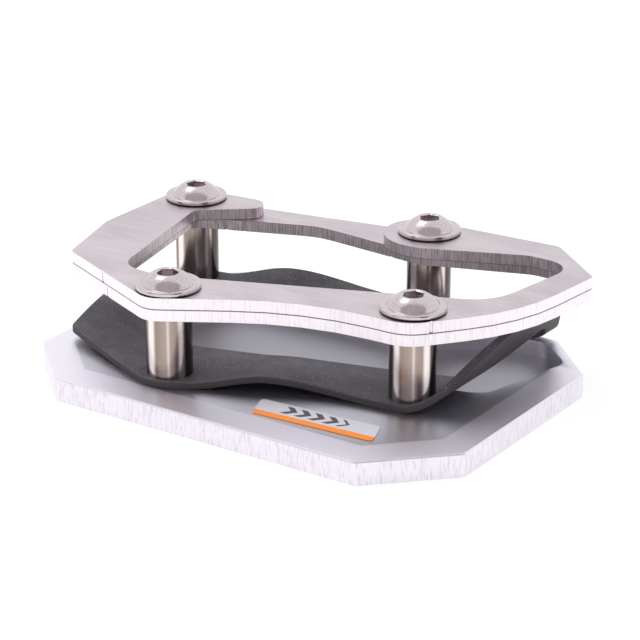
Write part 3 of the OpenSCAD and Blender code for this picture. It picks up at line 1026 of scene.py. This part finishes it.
@dataclass
class FlangeScrew:
    """A button head screw with a flange, a hexagon socket and a cut thread."""

    corner: Corner
    socket_turn_deg: float
    head_mm: float = 3.3
    flange_mm: float = 1.1
    dome_mm: float = 10.8
    crown_mm: float = 5.6
    socket_mm: float = 4.0
    socket_depth_mm: float = 2.1
    thread_mm: float = 6.0
    pitch_mm: float = 1.0
    thread_depth_mm: float = 0.55
    rim_share: float = 0.35
    foot_round_mm: float = 0.12
    chamfer_mm: float = 0.12
    crown_round_mm: float = 0.05
    crown_drop_mm: float = 0.02
    chamfer_depth_mm: float = 0.2
    floor_round_mm: float = 0.08
    floor_share: float = 0.96
    drill_mm: float = 0.3
    tip_mm: float = 0.6
    neck_mm: float = 0.5
    run_in_mm: float = 1.5
    dome_points: int = 22
    rim_points: int = 13
    rows_per_mm: int = 8
    around: int = 96

    def head_profile(self, flange_r: float) -> tuple[np.ndarray, np.ndarray, np.ndarray]:
        """Radius, height and hexagon share from the socket's floor to the flange's underside.

        The dome is a circle centred on the axis, through the crown's edge and the dome's foot.

        Args:
            flange_r: Radius of the flange in mm.

        Returns:
            Three arrays of one length, in mm from the head's seat.
        """
        top, floor = self.head_mm, self.head_mm - self.socket_depth_mm
        chamfer = self.socket_mm / math.sqrt(3) + self.chamfer_mm
        foot, crown, rise = self.dome_mm / 2, self.crown_mm / 2, self.head_mm - self.flange_mm
        centre = (crown**2 + rise**2 - foot**2) / (2 * rise)
        radius = math.hypot(foot, centre)
        arc = np.linspace(
            math.atan2(rise - centre, crown), math.atan2(-centre, foot), self.dome_points
        )
        rim = self.flange_mm * self.rim_share
        turn = np.linspace(np.pi / 2, -np.pi / 2, self.rim_points)
        rim_z = np.where(turn >= 0, self.flange_mm - rim, rim)
        r = np.concatenate(
            [
                [0, 0, 0, 0, chamfer, chamfer + self.crown_round_mm],
                radius * np.cos(arc),
                [foot + self.foot_round_mm],
                flange_r - rim + rim * np.cos(turn),
                [self.thread_mm / 2],
            ]
        )
        z = np.concatenate(
            [
                [floor, floor, floor + self.floor_round_mm],
                [top - self.chamfer_depth_mm, top - self.crown_drop_mm, top],
                self.flange_mm + centre + radius * np.sin(arc),
                [self.flange_mm + self.crown_drop_mm],
                rim_z + rim * np.sin(turn),
                [0],
            ]
        )
        hexagon = np.zeros(len(r))
        hexagon[1:4] = (self.floor_share, 1, 1)
        return r, z, hexagon

    def build(self, finish: bpy.types.Material) -> bpy.types.Object:
        """Turns the profile round the axis, with the socket's walls on a hexagon.

        The radius is the profile's, plus its hexagon share times half the width across flats
        over the cosine of the angle to the nearest flat. On the shank the radius falls by the
        thread's depth times a triangle wave of height over pitch plus turn.

        Args:
            finish: Material of the piece.

        Returns:
            The screw.
        """
        node = f"screw_{self.corner.value}"
        low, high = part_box(node)
        x, y = screw_place(self.corner)
        seat = high.z - self.head_mm * MM
        length = (seat - low.z) / MM
        flange_r = (high.x - low.x) / 2 / MM
        r, z, hexagon = self.head_profile(flange_r)
        angles = np.linspace(0, 2 * np.pi, self.around, endpoint=False)
        sixth = np.pi / 3
        off = (angles - math.radians(self.socket_turn_deg) + sixth / 2) % sixth - sixth / 2
        flat = self.socket_mm / 2 / np.cos(off)
        head_r = r[:, None] + hexagon[:, None] * flat
        head_z = np.broadcast_to(z[:, None], head_r.shape)

        steps = int(length * self.rows_per_mm)
        shank_z = -np.linspace(self.drill_mm, length - self.tip_mm, steps)
        phase = (shank_z[:, None] / self.pitch_mm + angles / (2 * np.pi)) % 1
        wave = np.clip(2 * np.abs(2 * phase - 1) - 0.5, 0, 1)
        run_in = np.clip((-shank_z[:, None] - self.neck_mm) / self.run_in_mm, 0, 1)
        shank_r = self.thread_mm / 2 - self.thread_depth_mm * wave * run_in
        tip_r = np.full((1, self.around), self.thread_mm / 2 - self.tip_mm)
        all_r = np.concatenate([head_r[1:], shank_r, tip_r])
        all_z = np.concatenate(
            [head_z[1:], np.broadcast_to(shank_z[:, None], shank_r.shape), 0 * tip_r - length]
        )
        ring = np.stack(
            [x + all_r * MM * np.cos(angles), y + all_r * MM * np.sin(angles), seat + all_z * MM],
            axis=-1,
        )
        rows, count = ring.shape[0], ring.shape[0] * self.around
        poles = np.array([[x, y, seat + (z[0] - self.drill_mm) * MM], [x, y, low.z]])
        c = np.arange(self.around)
        beside = (c + 1) % self.around
        first = np.stack([c, beside, np.full_like(c, count)], axis=-1)
        last_row = (rows - 1) * self.around
        last = np.stack([last_row + beside, last_row + c, np.full_like(c, count + 1)], axis=-1)
        quads = band_faces(rows, self.around, False)[:, ::-1]
        points = np.concatenate([ring.reshape(-1, 3), poles])
        piece = mesh_piece(f"flange_{node}", points, [quads, first, last], sharp_deg=35)
        return place_piece(piece, finish, node)


@dataclass
class Spacer:
    """A turned tube round a screw, its edges broken at both ends."""

    corner: Corner
    bore_mm: float = 6.6
    break_mm: float = 0.3
    front_deg: float = -55.6
    break_points: int = 5
    around: int = 128

    def build(self, finish: bpy.types.Material) -> bpy.types.Object:
        """Turns a closed profile round the axis: outer wall, ends and bore.

        Args:
            finish: Material of the piece.

        Returns:
            The spacer.
        """
        node = f"spacer_{self.corner.value}"
        low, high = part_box(node)
        x, y = screw_place(self.corner)
        outer, bore = (high.x - low.x) / 2, self.bore_mm / 2 * MM
        b = self.break_mm * MM
        arc = np.linspace(0, np.pi / 2, self.break_points)
        r = np.concatenate([outer - b + b * np.sin(arc), outer - b + b * np.cos(arc), [bore, bore]])
        z = np.concatenate(
            [low.z + b - b * np.cos(arc), high.z - b + b * np.sin(arc), [high.z, low.z]]
        )
        angles = np.linspace(0, 2 * np.pi, self.around, endpoint=False)
        points = np.stack(
            [
                x + r[:, None] * np.cos(angles),
                y + r[:, None] * np.sin(angles),
                np.broadcast_to(z[:, None], (len(z), self.around)),
            ],
            axis=-1,
        )
        quads = band_faces(len(z), self.around, True)
        piece = mesh_piece(f"turned_{node}", points.reshape(-1, 3), [quads], sharp_deg=50)
        # Share of the turn, 0.25 toward the camera, that places the painted reflection bands
        share = (angles / (2 * np.pi) - self.front_deg / 360 + 0.25) % 1
        turn = piece.data.attributes.new(TURN_ATTRIBUTE, "FLOAT", "POINT")
        turn.data.foreach_set("value", np.tile(share, len(z)).astype(np.float32))
        return place_piece(piece, finish, node)


@dataclass
class Studio:
    """A pale floor, a white surround, soft lamps, dark reflector cards and the camera."""

    eye: tuple[float, float, float] = (0.27587, -0.40252, 0.20582)
    tilt_deg: float = 68.5
    pan_deg: float = 34.1225
    focal_px: float = 2510.7
    image_px: int = 640
    sensor_mm: float = 36.0
    clip: tuple[float, float] = (0.01, 20.0)
    floor_size: float = 6.0
    world_light: float = 0.55
    world_seen: float = 1.0

    def camera(self) -> None:
        """Stands the camera where the four screw heads place it."""
        data = bpy.data.cameras.new("camera")
        data.sensor_width = self.sensor_mm
        data.lens = self.focal_px * self.sensor_mm / self.image_px
        data.clip_start, data.clip_end = self.clip
        made = bpy.data.objects.new("camera", data)
        made.location = self.eye
        made.rotation_euler = (math.radians(self.tilt_deg), 0, math.radians(self.pan_deg))
        bpy.context.scene.collection.objects.link(made)
        bpy.context.scene.camera = made

    def floor(self) -> None:
        """Lays a pale floor under the base plate: white to the camera, with soft shadows."""
        half = self.floor_size / 2
        x, y = np.array([-half, half, half, -half]), np.array([-half, -half, half, half])
        points = np.stack([x, y, np.full(4, cad_low.z)], axis=-1)
        made = mesh_piece("floor", points, [np.array([[0, 1, 2, 3]])])
        made.data.materials.append(PaintedFloor().material())
        made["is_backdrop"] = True

    def surround(self) -> None:
        """Lights the scene from all sides, and is white where a camera or mirror ray meets it."""
        world = bpy.data.worlds.new("studio")
        bpy.context.scene.world = world
        world.use_nodes = True
        tree = world.node_tree
        seen = add(tree, Kind.RAY)
        path = seen.node.outputs
        for name in ("Is Glossy Ray", "Is Transmission Ray"):
            seen = add(tree, Kind.MATH, {0: seen, 1: path[name]}, operation="MAXIMUM")
        strength = add(tree, Kind.LEVEL, {0: seen, 2: self.world_light, 3: self.world_seen})
        back = tree.nodes["Background"]
        back.inputs["Color"].default_value = (1, 1, 1, 1)
        tree.links.new(strength, back.inputs["Strength"])

    def lamp(
        self,
        name: str,
        place: tuple[float, float, float],
        size: float,
        watts: float,
        mirrored: bool = False,
    ) -> None:
        """Hangs a soft square lamp that looks at the part.

        Args:
            name: Name of the lamp.
            place: Where it hangs.
            size: Side of the lamp.
            watts: Its power.
            mirrored: Whether metal mirrors it. Only the small lamp is mirrored, so the pale metal
                faces stay darker than white.
        """
        data = bpy.data.lights.new(name, "AREA")
        data.size, data.energy = size, watts
        made = bpy.data.objects.new(name, data)
        made.location = place
        made.rotation_euler = (-Vector(place)).to_track_quat("-Z", "Y").to_euler()
        made.visible_glossy = mirrored
        bpy.context.scene.collection.objects.link(made)

    def card(
        self,
        name: str,
        place: tuple[float, float, float],
        size: tuple[float, float],
        tone: str,
    ) -> None:
        """Stands a card that only shows in mirrors, as a photographer's dark flag does.

        Args:
            name: Name of the card.
            place: Its middle. The card faces the part.
            size: Width and height.
            tone: Its colour.
        """
        w, h = size[0] / 2, size[1] / 2
        turn = np.array((-Vector(place)).to_track_quat("-Z", "Y").to_matrix())
        flat = np.array([[-w, -h, 0], [w, -h, 0], [w, h, 0], [-w, h, 0]])
        made = mesh_piece(name, flat @ turn.T + np.array(place), [np.array([[0, 1, 2, 3]])])
        made.data.materials.append(Finish(name, tone, roughness=1.0, metallic=0.0).material())
        made.visible_camera = False
        made.visible_diffuse = False
        made.visible_shadow = False
        made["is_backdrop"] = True

    def build(self) -> None:
        """Sets the whole studio up."""
        bpy.context.scene.view_settings.view_transform = "Standard"
        self.camera()
        self.floor()
        self.surround()
        self.lamp("top_lamp", (-0.3, -0.3, 1.3), size=1.9, watts=11.0)
        self.lamp("glint_lamp", (-0.5, 0.1, 1.0), size=0.45, watts=0.9, mirrored=True)
        self.lamp("left_lamp", (-1.2, -0.4, 0.7), size=0.8, watts=4.0)
        self.lamp("back_lamp", (0.3, 1.2, 0.8), size=0.8, watts=3.0)
        self.card("right_flag", (0.9, -0.35, 0.35), (0.5, 0.9), "#1C1C1E")
        self.card("left_flag", (-0.55, -0.95, 0.3), (0.35, 0.8), "#1C1C1E")
        self.card("front_ceiling", (0.4, -0.6, 1.2), (2.4, 1.4), "#C2BCBE")


def main() -> None:
    """Builds the studio and every piece in order."""
    logging.basicConfig(level=logging.INFO, format="%(message)s")
    Studio().build()
    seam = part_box("upper_clamp_plate")[0].z
    stainless = LaserCutStainless(seam_m=seam).material()
    CutPlate("lower_clamp_plate", "lower_plate", "plate_steel").build(stainless)
    CutPlate("upper_clamp_plate", "upper_plate", "plate_steel").build(stainless)
    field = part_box("base_plate")[1].z
    aluminium = MilledAluminium(field_m=field).material()
    CutPlate("base_plate", "base", "base_aluminium", edge_mm=0.1).build(aluminium)
    rubber = SheetRubber().material()
    RubberPad().build(rubber)
    low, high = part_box("label")
    film = PrintedFilm(middle=tuple((low + high) / 2)).material()
    CutPlate("label", "printed_label", "label_film", edge_mm=0.03).build(film)
    turned = TurnedSteel().material()
    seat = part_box("upper_clamp_plate")[1].z
    polished = PolishedSteel(seat_m=seat).material()
    socket_turns = {
        Corner.FRONT_LEFT: 10.0,
        Corner.FRONT_RIGHT: 25.0,
        Corner.REAR_LEFT: 48.0,
        Corner.REAR_RIGHT: 35.0,
    }
    for corner, turn in socket_turns.items():
        Spacer(corner).build(turned)
        FlangeScrew(corner, turn).build(polished)
    low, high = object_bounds()


if __name__ == "__main__":
    main()
